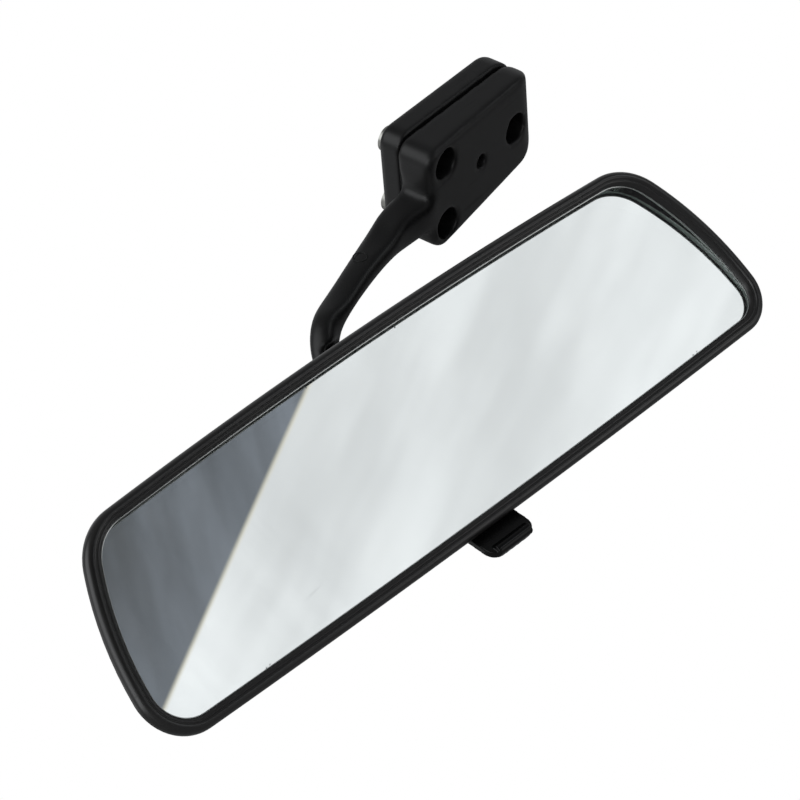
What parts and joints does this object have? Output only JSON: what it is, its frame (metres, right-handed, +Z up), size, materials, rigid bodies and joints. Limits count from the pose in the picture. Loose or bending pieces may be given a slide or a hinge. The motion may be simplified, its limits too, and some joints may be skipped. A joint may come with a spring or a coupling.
{
  "type": "interior rearview mirror",
  "caption": "Long screw-on interior rearview mirror: bent stay, friction ball joint and an anti-dazzle lever under the rim.",
  "frame": {"origin": "centre of the mounting face, where the mount meets the roof", "axes": "+X along the mirror to the right as the driver sees it, +Y forward towards the windscreen, +Z up; the mounting face leans 40 degrees"},
  "size_m": [0.258, 0.0618, 0.1154],
  "materials": {
    "black_plastic": "satin, finely moulded",
    "black_plate": "satin",
    "housing_plastic": "fine grain",
    "damper_rubber": "dull",
    "zinc_steel": "zinc plated",
    "spring_steel": "oiled",
    "acetal": "natural acetal",
    "black_acetal": "smooth",
    "chromed_ball": "polished",
    "glass": "polished, faint green edge",
    "silver": "bright",
    "film": "dull grey backing",
    "foam": "closed-cell foam"
  },
  "bodies": {
    "mount": {"header_plate": "black_plate", "damper_pad": "damper_rubber", "stay_arm": "black_plastic", "screw_sleeves": "zinc_steel", "plate_screw": "zinc_steel", "socket_ring": "black_acetal", "pressure_cup": "black_acetal", "disc_spring": "spring_steel"},
    "ball_yaw": {"ball_liner_rear": "acetal"},
    "ball_pitch": {"ball_liner_front": "acetal"},
    "bracket": {"ball_stud": "chromed_ball", "toggle_bracket": "black_acetal", "tilt_bushes": "acetal"},
    "head": {"rear_housing": "housing_plastic", "bezel": "black_plastic", "prism_glass": "glass", "mirror_silvering": "silver", "safety_film": "film", "foam_pad": "foam", "tilt_pin": "zinc_steel", "pin_clips": "spring_steel", "lever_pin": "zinc_steel", "detent_spring": "spring_steel", "spring_screws": "zinc_steel"},
    "lever": {"dipping_lever": "black_plastic", "crank_pin": "zinc_steel"}
  },
  "joints": [
    {"name": "ball_turn", "type": "hinge", "parent": "mount", "child": "ball_yaw", "pos_m": [-0.09285, -0.00805, -0.04787], "axis": [0, 0, 1], "range_deg": [-15, 12]},
    {"name": "ball_nod", "type": "hinge", "parent": "ball_yaw", "child": "ball_pitch", "pos_m": [-0.09285, -0.00805, -0.04787], "axis": [0.9945, 0, -0.1045], "range_deg": [-12, 15]},
    {"name": "ball_roll", "type": "hinge", "parent": "ball_pitch", "child": "bracket", "pos_m": [-0.09285, -0.00805, -0.04787], "axis": [0, 1, 0], "range_deg": [-10, 4]},
    {"name": "anti_dazzle_tilt", "type": "hinge", "parent": "bracket", "child": "head", "pos_m": [-0.09196, -0.03365, -0.03941], "axis": [0.9945, 0, -0.1045], "range_deg": [0, 4.5]},
    {"name": "lever_turn", "type": "hinge", "parent": "head", "child": "lever", "pos_m": [-0.09661, -0.03485, -0.08367], "axis": [0.9945, 0, -0.1045], "range_deg": [0, 29.7]}
  ],
  "couplings": [
    {"joint": "lever_turn", "follows": "anti_dazzle_tilt", "ratio": 6.57}
  ]
}
